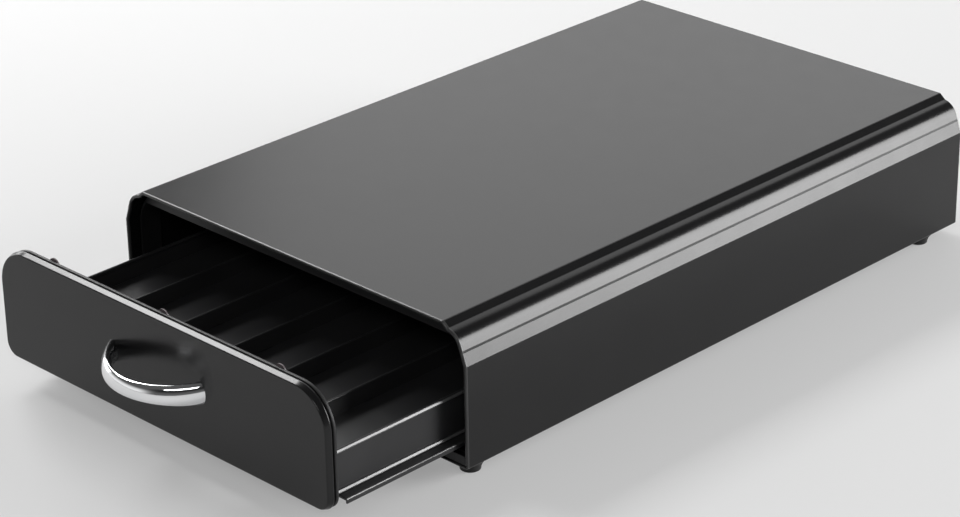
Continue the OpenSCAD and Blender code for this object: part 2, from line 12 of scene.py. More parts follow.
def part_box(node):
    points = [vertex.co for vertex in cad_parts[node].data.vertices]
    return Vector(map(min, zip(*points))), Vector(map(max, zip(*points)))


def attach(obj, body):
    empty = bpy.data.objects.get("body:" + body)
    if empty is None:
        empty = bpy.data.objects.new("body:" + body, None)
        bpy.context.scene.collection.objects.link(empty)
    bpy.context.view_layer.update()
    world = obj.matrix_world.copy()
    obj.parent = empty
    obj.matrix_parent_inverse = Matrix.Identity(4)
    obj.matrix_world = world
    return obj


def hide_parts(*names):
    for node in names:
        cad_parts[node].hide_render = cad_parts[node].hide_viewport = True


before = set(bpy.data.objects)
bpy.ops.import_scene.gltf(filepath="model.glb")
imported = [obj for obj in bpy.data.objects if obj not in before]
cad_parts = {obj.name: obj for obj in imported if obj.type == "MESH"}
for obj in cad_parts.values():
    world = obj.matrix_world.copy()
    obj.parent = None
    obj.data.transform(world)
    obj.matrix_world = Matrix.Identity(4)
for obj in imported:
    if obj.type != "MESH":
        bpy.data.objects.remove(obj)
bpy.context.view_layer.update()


# ---- Camera ----
# A long lens from the front right, a little above, so that the long folded edges run almost parallel.
# Distances here are in metres.
view_azimuth = math.radians(45.10)
view_height = math.radians(25.156)
view_roll = math.radians(-1.001)
view_target = Vector((-0.0354, 0.0310, 0.01006))
view_distance = 1.7502

back = Vector((math.sin(view_azimuth) * math.cos(view_height),
               -math.cos(view_azimuth) * math.cos(view_height),
               math.sin(view_height)))
level_right = Vector((math.cos(view_azimuth), math.sin(view_azimuth), 0))
level_up = back.cross(level_right)
right = math.cos(view_roll) * level_right + math.sin(view_roll) * level_up
up = -math.sin(view_roll) * level_right + math.cos(view_roll) * level_up

camera = bpy.data.objects.new("camera", bpy.data.cameras.new("camera"))
camera.data.sensor_width = 36
camera.data.lens = 111.77
camera.data.clip_end = 50
camera.matrix_world = Matrix.Translation(view_target + back * view_distance) @ Matrix(
    (right, up, back)).transposed().to_4x4()
bpy.context.scene.collection.objects.link(camera)
bpy.context.scene.camera = camera


# ---- Cover shell ----
# One sheet of 1 mm steel folded over the top and both sides, fluted along its two shoulders and turned in
# along the bottom. The front edge is folded back inside as a flat hem. Satin black powder coat.
sheet_t = 1.0
hem_depth = 8.0
hem_round = 0.3
flange_w = 20.0
hem_foot = 2.2      # where the hem starts, above the cover's lower edge
hem_cut = 0.05      # the height in which the hem's cut end rises
plain_hem = 0.02    # the hem's thickness below its foot, where none is seen


def box_mm(node):
    """The lowest and the highest corner of a CAD node, in millimetres."""
    low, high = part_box(node)
    return np.array(low) * 1000, np.array(high) * 1000


def moved(corners, distance, closed=True):
    """Corners of (across, up, radius), shifted to the left of their run by distance. Each straight line
    shifts along its own normal, and each radius changes so that its arc keeps its centre."""
    corners = np.array(corners, float)
    along = np.roll(corners[:, :2], -1, 0) - corners[:, :2]
    if not closed:
        along[-1] = along[-2]
    along /= np.linalg.norm(along, axis=1, keepdims=True)
    left = np.stack([-along[:, 1], along[:, 0]], 1)
    left_before = np.roll(left, 1, 0)
    if not closed:
        left_before[0] = left[0]
    shift = (left_before + left) / (1 + (left_before * left).sum(1, keepdims=True))
    turn = left_before[:, 0] * left[:, 1] - left_before[:, 1] * left[:, 0]
    radius = np.maximum(corners[:, 2] - distance * np.sign(turn), 0.1)
    radius = np.where(corners[:, 2] > 0, radius, 0)
    return np.column_stack([corners[:, :2] + distance * shift, radius])


def rounded(corners, closed=True, steps=8):
    """The line through corners of (across, up, radius). A corner becomes the arc of its radius that touches
    the two straight lines meeting there, and a radius of 0 leaves the plain point."""
    corners = np.array(corners, float)
    parts = []
    for i, radius in enumerate(corners[:, 2]):
        here = corners[i, :2]
        if radius == 0 or (not closed and i in (0, len(corners) - 1)):
            parts.append(here[None])
            continue
        before = corners[i - 1, :2] - here
        after = corners[(i + 1) % len(corners), :2] - here
        before /= np.linalg.norm(before)
        after /= np.linalg.norm(after)
        half = math.acos(before @ after) / 2
        middle = (before + after) / np.linalg.norm(before + after)
        centre = here + middle * radius / math.sin(half)
        x, y = here + before * radius / math.tan(half) - centre
        side = np.sign(before[1] * after[0] - before[0] * after[1])
        angle = side * np.linspace(0, math.pi - 2 * half, steps + 1)
        arc = np.stack([x * np.cos(angle) - y * np.sin(angle), x * np.sin(angle) + y * np.cos(angle)], 1)
        parts.append(centre + arc)
    return np.concatenate(parts)


def skin(rings, ring_closed=True, path_closed=False):
    """Points and faces of the surface through rings, an array of (ring, point, xyz). Four neighbours, two on
    a ring and two on the next, make one face."""
    rows, columns = rings.shape[:2]
    row = np.arange(rows if path_closed else rows - 1)[:, None]
    column = np.arange(columns if ring_closed else columns - 1)[None]
    next_row = (row + 1) % rows
    next_column = (column + 1) % columns
    faces = np.stack([row * columns + column, row * columns + next_column,
                      next_row * columns + next_column, next_row * columns + column], -1)
    return rings.reshape(-1, 3), faces.reshape(-1, 4).tolist()


def capped(rings):
    """The surface through rings, closed flat over the first and the last one."""
    points, faces = skin(rings)
    count = rings.shape[1]
    faces.append(list(range(count)))
    faces.append(list(range(len(points) - count, len(points))))
    return points, faces


def add_piece(name, body, shapes, material, slot, *nodes):
    """One object of all the shapes, each its points in millimetres and its faces. Faces are turned outwards,
    and shading is smooth round the bends and breaks at the sheet's edges."""
    points = np.concatenate([shape[0] for shape in shapes]) / 1000
    faces = []
    start = 0
    for shape_points, shape_faces in shapes:
        faces += [[start + i for i in face] for face in shape_faces]
        start += len(shape_points)
    mesh = bpy.data.meshes.new(name)
    mesh.from_pydata(points.tolist(), [], faces)
    work = bmesh.new()
    work.from_mesh(mesh)
    bmesh.ops.remove_doubles(work, verts=work.verts, dist=1e-7)
    bmesh.ops.recalc_face_normals(work, faces=work.faces)
    work.to_mesh(mesh)
    work.free()
    mesh.shade_smooth()
    mesh.set_sharp_from_angle(angle=math.radians(50))
    mesh.materials.append(material)
    piece = bpy.data.objects.new(name, mesh)
    bpy.context.scene.collection.objects.link(piece)
    even = piece.modifiers.new("even_shading", "WEIGHTED_NORMAL")
    even.keep_sharp = True
    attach(piece, body)
    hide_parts(*nodes)
    return piece


def new_finish(name):
    """A material with nothing but its shader."""
    material = bpy.data.materials.new(name)
    material.use_nodes = True
    tree = material.node_tree
    return material, tree, tree.nodes["Principled BSDF"]


def speckle(tree, size, detail=2.0, stretch=(1, 1, 1)):
    """Noise on the piece's own coordinates, with patches about size millimetres across."""
    coordinates = tree.nodes.new("ShaderNodeTexCoord")
    mapping = tree.nodes.new("ShaderNodeMapping")
    mapping.inputs["Scale"].default_value = stretch
    noise = tree.nodes.new("ShaderNodeTexNoise")
    noise.inputs["Scale"].default_value = 1000 / size
    noise.inputs["Detail"].default_value = detail
    tree.links.new(coordinates.outputs["Object"], mapping.inputs["Vector"])
    tree.links.new(mapping.outputs["Vector"], noise.inputs["Vector"])
    return noise.outputs[0]


def ranged(tree, value, low, high):
    """The middle of a noise's range, stretched to run from low to high."""
    spread = tree.nodes.new("ShaderNodeMapRange")
    spread.inputs["From Min"].default_value = 0.3
    spread.inputs["From Max"].default_value = 0.7
    spread.inputs["To Min"].default_value = low
    spread.inputs["To Max"].default_value = high
    tree.links.new(value, spread.inputs["Value"])
    return spread.outputs["Result"]


def mixed(tree, value, dark, light):
    """A colour that runs from dark to light as value goes from 0 to 1."""
    mix = tree.nodes.new("ShaderNodeMix")
    mix.data_type = "RGBA"
    tree.links.new(value, mix.inputs["Factor"])
    for socket, colour in (("A", dark), ("B", light)):
        target = [s for s in mix.inputs if s.name == socket and s.type == "RGBA"][0]
        if isinstance(colour, tuple):
            target.default_value = (*colour, 1)
        else:
            tree.links.new(colour, target)
    return [s for s in mix.outputs if s.type == "RGBA"][0]


def product(tree, one, other):
    """One value times another value or number."""
    multiply = tree.nodes.new("ShaderNodeMath")
    multiply.operation = "MULTIPLY"
    tree.links.new(one, multiply.inputs[0])
    if isinstance(other, float):
        multiply.inputs[1].default_value = other
    else:
        tree.links.new(other, multiply.inputs[1])
    return multiply.outputs[0]


def raised(tree, shader, *grains):
    """Bumps of (noise, height in millimetres), one on the other, as the shader's normal."""
    normal = None
    for noise, height in grains:
        bump = tree.nodes.new("ShaderNodeBump")
        bump.inputs["Strength"].default_value = 1
        bump.inputs["Distance"].default_value = height / 1000
        tree.links.new(noise, bump.inputs["Height"])
        if normal:
            tree.links.new(normal, bump.inputs["Normal"])
        normal = bump.outputs["Normal"]
    tree.links.new(normal, shader.inputs["Normal"])


def stepped(tree, value, start, end, low=0, high=1):
    """A smooth step from low to high as value goes from start to end."""
    step = tree.nodes.new("ShaderNodeMapRange")
    step.interpolation_type = "SMOOTHSTEP"
    step.inputs["From Min"].default_value = start
    step.inputs["From Max"].default_value = end
    step.inputs["To Min"].default_value = low
    step.inputs["To Max"].default_value = high
    tree.links.new(value, step.inputs["Value"])
    return step.outputs["Result"]


def away_from(tree, axis, middle, start, end):
    """0 up to start from the plane that crosses an axis at middle, and 1 beyond end, in millimetres."""
    coordinates = tree.nodes.new("ShaderNodeTexCoord")
    split = tree.nodes.new("ShaderNodeSeparateXYZ")
    offset = tree.nodes.new("ShaderNodeMath")
    distance = tree.nodes.new("ShaderNodeMath")
    offset.operation = "SUBTRACT"
    offset.inputs[1].default_value = middle / 1000
    distance.operation = "ABSOLUTE"
    tree.links.new(coordinates.outputs["Object"], split.inputs["Vector"])
    tree.links.new(split.outputs[axis], offset.inputs[0])
    tree.links.new(offset.outputs[0], distance.inputs[0])
    return stepped(tree, distance.outputs[0], start / 1000, end / 1000)


def painted_edge_highlight(material, highlight_amount):
    """Paints a highlight onto a coat: pale grey and a little metal mixed in, by the given amount."""
    tree = material.node_tree
    shader = tree.nodes["Principled BSDF"]
    coat_shade = shader.inputs["Base Color"].links[0].from_socket
    tree.links.new(mixed(tree, highlight_amount, coat_shade, (0.35, 0.35, 0.35)), shader.inputs["Base Color"])
    tree.links.new(highlight_amount, shader.inputs["Metallic"])


def powder_coat(name, dark, light, roughness, gloss, peel):
    """Baked powder coat: the shade drifts a little over centimetres, the gloss over a few, and an orange
    peel of height peel lies about a millimetre across over a finer grain."""
    material, tree, shader = new_finish(name)
    shade = mixed(tree, ranged(tree, speckle(tree, 35, 4), 0, 1), dark, light)
    tree.links.new(shade, shader.inputs["Base Color"])
    gloss_drift = ranged(tree, speckle(tree, 14, 3), roughness - 0.012, roughness + 0.012)
    tree.links.new(gloss_drift, shader.inputs["Roughness"])
    shader.inputs["Specular IOR Level"].default_value = gloss
    raised(tree, shader, (speckle(tree, 1.3, 1), peel), (speckle(tree, 0.35, 1), peel * 0.3))
    return material


cover_low, cover_high = box_mm("cover_shell")
cover_x = cover_high[0]
case_y, rear_y = cover_low[1], cover_high[1]
case_z, case_top = cover_low[2], cover_high[2]

# Steps of the shoulder: in from the side, down from the top, bend radius.
shoulder = [(0, 21.2, 2.5), (2.5, 14.2, 0.7), (2.85, 12.9, 0.7), (5.9, 5, 11), (12.6, 3, 1.2), (16.2, 0, 2)]
shoulder_corners = [(cover_x - inwards, case_top - down, radius) for inwards, down, radius in shoulder]
cover_half = [(cover_x - flange_w, case_z, 0),
              (cover_x, case_z, 1.2),
              (cover_x, case_z + hem_foot - hem_cut, 0),
              (cover_x, case_z + hem_foot, 0),
              *shoulder_corners]


def mirror_back(half):
    """The corners of a right half, followed by their mirror images in reverse."""
    return half + [(-across, height, radius) for across, height, radius in reversed(half)]


def cover_edge_section(front_t):
    """Once round the sheet from front to back, as (distance back, depth in): half a circle of thickness
    front_t at the front, the hem and its end, and half a circle of the sheet's thickness at the rear."""
    turn = np.linspace(0, math.pi, 9)
    front = front_t / 2 * np.stack([1 - np.sin(turn), 1 - np.cos(turn)], 1)
    step = front_t - sheet_t
    hem = np.array([(hem_depth - hem_round, front_t),
                    (hem_depth - hem_round * 0.3, front_t - step * 0.1),
                    (hem_depth, front_t - step * 0.3),
                    (hem_depth, sheet_t)])
    length = rear_y - case_y
    rear = sheet_t / 2 * np.stack([np.sin(turn) - 1, 1 + np.cos(turn)], 1) + (length, 0)
    return np.concatenate([front, hem, rear])


def cover_rings(front_t):
    """The cover's outline at each point of the edge section, drawn in by that point's depth."""
    rings = []
    for back_by, depth in cover_edge_section(front_t):
        outline = rounded(moved(cover_line, depth, closed=False), closed=False, steps=16)
        rings.append(np.insert(outline, 1, case_y + back_by, axis=1))
    return np.array(rings)


cover_line = mirror_back(cover_half)
hemmed = cover_rings(2 * sheet_t)
plain = cover_rings(sheet_t + plain_hem)
has_hem = hemmed[0, :, 2] > case_z + hem_foot - hem_cut / 2
cover_shape = capped(np.where(has_hem[None, :, None], hemmed, plain).transpose(1, 0, 2))

satin_black = powder_coat("satin_black_coat", (0.0055, 0.0055, 0.0058), (0.0070, 0.0070, 0.0073),
                          roughness=0.23, gloss=0.36, peel=0.0014)
# A highlight is painted along the front edge, in pale grey and a little metal.
tree = satin_black.node_tree
painted_edge_highlight(satin_black, ranged(tree, away_from(tree, "Y", case_y, 1.3, 1.7), 0.12, 0))
add_piece("folded_cover", "case", [cover_shape], satin_black, "case_steel", "cover_shell")


# ---- Base pan ----
# A flat floor of 1 mm sheet inside the cover's bottom flanges, turned up in front as a low lip below the
# drawer's panel, and behind as an upstand that the back is screwed to. Matt black.
edge_round = 0.25
pan_bend = 1.6
lip_h = 7.0
lip_gap = 1.2           # from the lip's end to the pan's edge
upstand_gap = 13.0      # from the upstand's end to the pan's edge


def strip(line, thickness, edge=edge_round):
    """The closed section of a bent sheet: its line, then the line moved to its left by the thickness and
    taken back, with a small round at each of the four end corners."""
    near = np.array(line, float)
    far = moved(near, thickness, closed=False)[::-1]
    near[[0, -1], 2] = edge
    far[[0, -1], 2] = edge
    return np.concatenate([near, far])


def end_stations(start, end, edge):
    """Places from start to end with the inset at each: a quarter circle of radius edge at either end."""
    turn = np.linspace(0, math.pi / 2, 4)
    place = edge * (1 - np.cos(turn))
    inset = edge * (1 - np.sin(turn))
    return [*zip(start + place, inset), *zip(end - place[::-1], inset[::-1])]


def extruded(corners, start, end, axis="y", edge=edge_round, steps=6):
    """A closed outline carried along an axis from start to end, with round edges at both end faces."""
    rings = []
    for along, inset in end_stations(start, end, edge):
        ring = rounded(moved(corners, inset), steps=steps)
        rings.append(np.insert(ring, "xyz".index(axis), along, axis=1))
    return capped(np.array(rings))


pan_low, pan_high = box_mm("base_pan")
pan_x = pan_high[0]
pan_line = [(pan_low[1], case_z + lip_h, 0),
            (pan_low[1], pan_low[2], pan_bend),
            (pan_high[1], pan_low[2], pan_bend),
            (pan_high[1], pan_high[2], 0)]
pan_points, pan_faces = extruded(strip(pan_line, sheet_t), -pan_x, pan_x, axis="x")
# Above the floor's bends, the lip and the upstand are narrower than the floor.
above = pan_points[:, 2] > pan_low[2] + pan_bend
gap = np.where(pan_points[:, 1] < 0, lip_gap, upstand_gap)
pan_points[:, 0] *= 1 - np.where(above, gap, 0) / pan_x

matt_black = powder_coat("matt_black_coat", (0.010, 0.010, 0.0105), (0.0135, 0.0135, 0.014),
                         roughness=0.5, gloss=0.35, peel=0.003)
add_piece("pressed_base", "case", [(pan_points, pan_faces)], matt_black, "inner_steel", "base_pan")


# ---- Slide rails ----
# The case's half of each roller slide: a channel rolled from 1.2 mm zinc-plated strip, a tab bent up from
# its track to stop the drawer. Its track lies on the base pan and its wall against the cover.
rail_t = 1.2
rail_bend = 1.9
rail_roof_w = 8.6
tab_w, tab_h = 3.6, 4.5
tab_to_wall = 5.6
tab_foot = 0.3          # in the track's thickness
tab_behind = 96.4       # from the case's front to the back of the tab


def plated(name, dark, light, roughness, rub=14):
    """Zinc-plated strip: pale and dark streaks drawn out along the rolling direction, a mottle of patches
    rub millimetres across in the gloss, and the faint ridges that the rolls leave."""
    material, tree, shader = new_finish(name)
    streaks = speckle(tree, 6, 5, stretch=(1, 0.12, 1))
    tree.links.new(mixed(tree, ranged(tree, streaks, 0, 1), dark, light), shader.inputs["Base Color"])
    tree.links.new(ranged(tree, speckle(tree, rub, 4), roughness - 0.07, roughness + 0.07),
                   shader.inputs["Roughness"])
    shader.inputs["Metallic"].default_value = 1
    raised(tree, shader, (speckle(tree, 0.8, 2, stretch=(1, 0.08, 1)), 0.004))
    return material


def mirrored(shape):
    """The same shape on the other side of the middle."""
    return shape[0] * (-1, 1, 1), shape[1]


zinc_plate = plated("zinc_plate", (0.30, 0.30, 0.31), (0.46, 0.46, 0.45), 0.36)
for name, node in (("slide_rail_left", "guide_rail_left"), ("slide_rail_right", "guide_rail_right")):
    low, high = box_mm(node)
    near_x, far_x = sorted((abs(low[0]), abs(high[0])))
    rail_line = [(near_x, low[2], 0), (far_x, low[2], rail_bend), (far_x, high[2], rail_bend),
                 (far_x - rail_roof_w, high[2], 0)]
    channel = extruded(strip(rail_line, rail_t), low[1], high[1])
    tab_x = far_x - tab_to_wall
    tab_y = case_y + tab_behind
    tab_corners = [(tab_x - tab_w, low[2] + tab_foot, 0), (tab_x, low[2] + tab_foot, 0),
                   (tab_x, low[2] + tab_h, 1.2), (tab_x - tab_w, low[2] + tab_h, 1.2)]
    tab = extruded(tab_corners, tab_y - rail_t, tab_y)
    shapes = [channel, tab]
    if high[0] < 0:
        shapes = [mirrored(shape) for shape in shapes]
    add_piece(name, "case", shapes, zinc_plate, "plated_steel", node)


# ---- Rollers and their pins ----
# Nylon rollers, turned with a shallow groove, run on headed steel pins. The front pair's pins are riveted
# into the rails, and the rear pair's into the lugs of the drawer's runners.
pin_r = 2.0
bore_gap = 0.05
roller_chamfer = 0.5
hub_w = 0.7
groove_bevel = 0.3
groove_d = 0.35
head_gap = 0.1          # from a pin's head to its roller
pin_past = 2.2          # from a rear roller to the end of its pin


def square_to(axis):
    """The axis as an array, and two directions square to it and to each other."""
    axis = np.array(axis, float)
    side = np.array((0.0, 0.0, 1.0)) if abs(axis[2]) < 0.5 else np.array((1.0, 0.0, 0.0))
    return axis, side, np.cross(axis, side)


def turned(profile, place, axis, sides=40, hollow=False):
    """A profile of (radius, distance along) spun round an axis through place. A hollow one closes on itself,
    and any other is closed flat at its two ends."""
    axis, side, across = square_to(axis)
    angle = np.arange(sides)[:, None] / sides * 2 * math.pi
    spokes = np.cos(angle) * side + np.sin(angle) * across
    radius, along = np.array(profile, float).T[:, :, None, None]
    rings = np.array(place, float) + radius * spokes + along * axis
    return skin(rings, path_closed=True) if hollow else capped(rings)


def moulded(name, dark, light, roughness, gloss, grain, height):
    """Moulded nylon or rubber: a slight mottle, and a matt texture of small pits as the mould leaves it."""
    material, tree, shader = new_finish(name)
    tree.links.new(mixed(tree, ranged(tree, speckle(tree, 5, 4), 0, 1), dark, light),
                   shader.inputs["Base Color"])
    tree.links.new(ranged(tree, speckle(tree, 2.5, 3), roughness - 0.06, roughness + 0.06),
                   shader.inputs["Roughness"])
    shader.inputs["Specular IOR Level"].default_value = gloss
    raised(tree, shader, (speckle(tree, grain, 2), height))
    return material


nylon = moulded("pale_nylon", (0.62, 0.60, 0.54), (0.70, 0.68, 0.63), 0.42, 0.5, 0.6, 0.006)
for name, node, body in (("turned_roller_front_left", "front_roller_left", "wheel_front_left"),
                         ("turned_roller_front_right", "front_roller_right", "wheel_front_right"),
                         ("turned_roller_rear_left", "rear_roller_left", "wheel_rear_left"),
                         ("turned_roller_rear_right", "rear_roller_right", "wheel_rear_right")):
    low, high = box_mm(node)
    centre = (low + high) / 2
    r = (high[2] - low[2]) / 2
    half_w = (high[0] - low[0]) / 2
    bore = pin_r + bore_gap
    shoulder_r = r - roller_chamfer
    half_profile = [(bore, half_w), (bore + hub_w, half_w),
                    (bore + hub_w + groove_bevel, half_w - groove_d),
                    (shoulder_r - 2 * groove_bevel, half_w - groove_d),
                    (shoulder_r - groove_bevel, half_w), (shoulder_r, half_w), (r, half_w - roller_chamfer)]
    roller_profile = [(radius, -along) for radius, along in half_profile] + half_profile[::-1]
    add_piece(name, body, [turned(roller_profile, centre, (1, 0, 0), 56, hollow=True)], nylon, "nylon", node)

bright_steel = plated("bright_plated_steel", (0.44, 0.44, 0.45), (0.60, 0.60, 0.60), 0.28, rub=3)


def headed_pin(head_x, end_x, y, z):
    """A pin from its flat head to its riveted end, each with a small round."""
    head_t = 0.8
    direction = math.copysign(1, end_x - head_x)
    length = abs(end_x - head_x)
    head_r = pin_r + 0.75
    pin_profile = [(head_r - 0.35, -head_t), (head_r - 0.1, -head_t + 0.08), (head_r, -head_t + 0.25),
                   (head_r, -0.1), (head_r - 0.1, 0), (pin_r, 0), (pin_r, length - 0.3),
                   (pin_r - 0.1, length - 0.08), (pin_r - 0.4, length)]
    return turned(pin_profile, (head_x, y, z), (direction, 0, 0), 32)


for name, node, body, turn_node, head_inside in (
        ("front_pins", "front_roller_pins", "case", "front_roller_right", True),
        ("rear_pins", "rear_roller_pins", "drawer", "rear_roller_right", False)):
    low, high = box_mm(node)
    roller_low, roller_high = box_mm(turn_node)
    y, z = ((roller_low + roller_high) / 2)[1:]
    head_x = roller_low[0] - head_gap if head_inside else roller_high[0] + head_gap
    end_x = high[0] if head_inside else roller_low[0] - pin_past
    pin = headed_pin(head_x, end_x, y, z)
    add_piece(name, body, [pin, mirrored(pin)], bright_steel, "plated_steel", node)


# ---- Front frame ----
# A hoop of 1.2 mm strip bent to the mouth of the case and spot-welded inside the cover. Its front edge has
# a flange turned down along the top, which the drawer's bumpers meet. Matt black.
hoop_t = 1.2
hoop_r = 27.0
hoop_depth = 14.0
stop_flange_h = 10.0

hoop_low, hoop_high = box_mm("front_frame")
hoop_x, hoop_top = hoop_high[0], hoop_high[2]
hoop_line = mirror_back([(hoop_x, hoop_low[2], 0), (hoop_x, hoop_top, hoop_r)])
hoop = extruded(strip(hoop_line, hoop_t), hoop_low[1], hoop_high[1], steps=20)

flange_foot = hoop_top - hoop_t - stop_flange_h
flange_r = hoop_r - hoop_t / 2
drop = math.asin((flange_foot - hoop_top + hoop_r) / flange_r)
flange_turn = np.linspace(drop, math.pi / 2, 20)
flange_arc = np.stack([hoop_x - hoop_r + flange_r * np.cos(flange_turn),
                       hoop_top - hoop_r + flange_r * np.sin(flange_turn)], 1)
flange_outline = np.concatenate([flange_arc, flange_arc[::-1] * (-1, 1)])
flange_corners = np.column_stack([flange_outline, np.zeros(len(flange_outline))])
stop_flange = extruded(flange_corners, hoop_low[1], hoop_low[1] + hoop_t, edge=0.2)
add_piece("mouth_hoop", "case", [hoop, stop_flange], matt_black, "inner_steel", "front_frame")


# ---- Back panel ----
# A flat sheet cut to the cover's section, closing the back just inside its edge. Its top is turned forward
# as a flange under the cover. Satin black, as the cover.
back_gap = 0.2          # from the cover's inside to the sheet's edge
back_flange_in = 30.0   # from the cover's side to the flange's end

back_low, back_high = box_mm("back_panel")
back_corners = moved(cover_line, sheet_t + back_gap, closed=False)
# Only the shoulders stay, without the cover's flange, its lower bend and the hem's foot at either end.
back_corners = back_corners[4:-4]
foot_corner = (back_corners[0][0], back_low[2], 0.6)
back_corners = [foot_corner, *map(tuple, back_corners), (-foot_corner[0], *foot_corner[1:])]
back_sheet = extruded(back_corners, back_high[1] - sheet_t, back_high[1], steps=10)
flange_back = back_high[1] - 0.4
flange_corners = [(back_low[1], back_high[2] - sheet_t, 0.2), (flange_back, back_high[2] - sheet_t, 0),
                  (flange_back, back_high[2] - 0.05, 0), (back_low[1], back_high[2] - 0.05, 0.2)]
flange_x = cover_x - back_flange_in
top_flange = extruded(flange_corners, -flange_x, flange_x, axis="x")
add_piece("closing_back", "case", [back_sheet, top_flange], satin_black, "case_steel", "back_panel")


# ---- Feet ----
# Four rubber feet, moulded with a flare under the case and a taper to a small rounded sole. Each is held
# by a screw from below that ends in the slide rail.
foot_h = case_z
foot_r = (box_mm("foot_front_left")[1][0] - box_mm("foot_front_left")[0][0]) / 2
bore_r = 3.9
bore_top = foot_h * 0.5
shank_hole_r = 2.3

black_rubber = moulded("black_rubber", (0.012, 0.012, 0.012), (0.020, 0.020, 0.020), 0.62, 0.35, 0.5, 0.008)
foot_profile = rounded([(shank_hole_r, bore_top, 0), (bore_r, bore_top, 0), (bore_r, 0.4, 0),
                        (bore_r + 0.4, 0, 0.2), (foot_r * 0.66, 0, 0.5), (foot_r * 0.69, 1.9, 5),
                        (foot_r * 0.8, 4.1, 6), (foot_r, 6.3, 0.5), (foot_r, foot_h, 0.2),
                        (shank_hole_r, foot_h, 0)], steps=5)
for side in ("front_left", "front_right", "rear_left", "rear_right"):
    low, high = box_mm("foot_" + side)
    place = ((low[0] + high[0]) / 2, (low[1] + high[1]) / 2, 0)
    add_piece("rubber_foot_" + side, "case", [turned(foot_profile, place, (0, 0, 1), 64, hollow=True)],
              black_rubber, "rubber", "foot_" + side)


# ---- Screws ----
# Plated pan-head screws with a cross recess. They hold the feet, the cover's flanges to the base pan, and
# the back to the pan's upstand.
m3 = (1.5, 2.75, 1.6)   # the shank's radius, the head's radius and the head's height
m4 = (2.0, 3.5, 2.4)
thread_pitch = 0.6
case_d = rear_y - case_y
cover_screw_in = 15.5
cover_screw_ys = (42, case_d / 2, case_d - 50)
back_screw_xs = (-96, -32, 32, 96)
back_screw_up = 13
foot_in = 10
foot_ys = (12, case_d - 24)


def screw(kind, length, place, axis):
    """A screw whose head sits at place and whose shank runs along axis. The head is a dome that falls as the
    square of the radius, less a cross-shaped recess. The shank's radius goes up and down once a pitch."""
    shank_r, head_r, head_h = kind
    radius = np.linspace(0.04, 0.86, 11) * head_r
    dome = -head_h * (1 - 0.45 * (radius / head_r) ** 2)
    turns = int(length / thread_pitch)
    thread_along = np.linspace(0.2, length - 0.3, turns * 4 + 1)
    thread_r = shank_r * (0.94 - 0.06 * np.cos(thread_along / thread_pitch * 2 * math.pi))
    profile = np.concatenate([np.stack([radius, dome], 1),
                              [(head_r * 0.96, -head_h * 0.48), (head_r, -head_h * 0.36),
                               (head_r, -head_h * 0.08), (head_r * 0.97, 0), (shank_r * 0.92, 0)],
                              np.stack([thread_r, thread_along], 1),
                              [(shank_r * 0.55, length)]])
    sides = 48
    points, faces = turned(profile, (0, 0, 0), (0, 0, 1), sides)
    wide = head_r * 0.15
    arm = np.minimum(np.abs(points[:, 0]), np.abs(points[:, 1]))
    reach = np.maximum(np.abs(points[:, 0]), np.abs(points[:, 1]))
    inside = np.clip((wide * 1.35 - arm) / (wide * 0.7), 0, 1) * np.clip((head_r * 0.62 - reach) / 0.25, 0, 1)
    points[:, 2] += np.where(points[:, 2] < -head_h * 0.5, inside * head_h * 0.5, 0)
    axis, side, across = square_to(axis)
    return np.array(place) + points[:, :1] * side + points[:, 1:2] * across + points[:, 2:] * axis, faces


cover_screws = [screw(m3, 5.5, (side * (cover_x - cover_screw_in), case_y + y, case_z), (0, 0, 1))
                for side in (-1, 1) for y in cover_screw_ys]
add_piece("flange_screws", "case", cover_screws, bright_steel, "plated_steel", "cover_screws")

back_screws = [screw(m3, 5.5, (x, back_high[1], pan_low[2] + back_screw_up), (0, -1, 0))
               for x in back_screw_xs]
add_piece("rear_screws", "case", back_screws, bright_steel, "plated_steel", "back_panel_screws")

foot_screws = [screw(m4, 6.5, (side * (cover_x - foot_in), case_y + y, bore_top), (0, 0, 1))
               for side in (-1, 1) for y in foot_ys]
add_piece("sole_screws", "case", foot_screws, bright_steel, "plated_steel", "foot_screws")


# ---- Drawer tray ----
# A box of 1 mm sheet. A bead is rolled along the top of all four walls, and another along the foot of the
# two long ones. Satin dark grey powder coat.
bead_r = 1.2
plan_r = 2.5
floor_in = 14.0         # how far in a wall's section goes along the floor

tray_low, tray_high = box_mm("drawer_tray")
tray_x = tray_high[0] - bead_r
tray_front, tray_back = tray_low[1], tray_high[1]
tray_z, tray_top = tray_low[2], tray_high[2]
tray_floor = tray_z + sheet_t
tray_plan = [(tray_x, tray_front, plan_r), (tray_x, tray_back, plan_r),
             (-tray_x, tray_back, plan_r), (-tray_x, tray_front, plan_r)]


def rolled_bead():
    """Half a bead outside the wall's face as (depth in, height above its foot), from foot to top. A quarter
    ellipse is followed by an arc of small radius, parted in two by the flat that the roll presses on it."""
    flat_tilt = math.radians(25)
    flat_l = 0.9
    small_r = bead_r - flat_l * math.sin(flat_tilt)
    belly_z = 2 * bead_r - small_r - flat_l * math.cos(flat_tilt)
    under = np.linspace(-math.pi / 2, 0, 6)
    below = np.linspace(0, flat_tilt, 3)[1:]
    over = np.linspace(flat_tilt, math.pi / 2, 5)
    depth = [-bead_r * np.cos(under), small_r - bead_r - small_r * np.cos(below), -small_r * np.cos(over)]
    height = [belly_z * (1 + np.sin(under)), belly_z + small_r * np.sin(below),
              2 * bead_r - small_r + small_r * np.sin(over)]
    return np.concatenate(depth), np.concatenate(height)


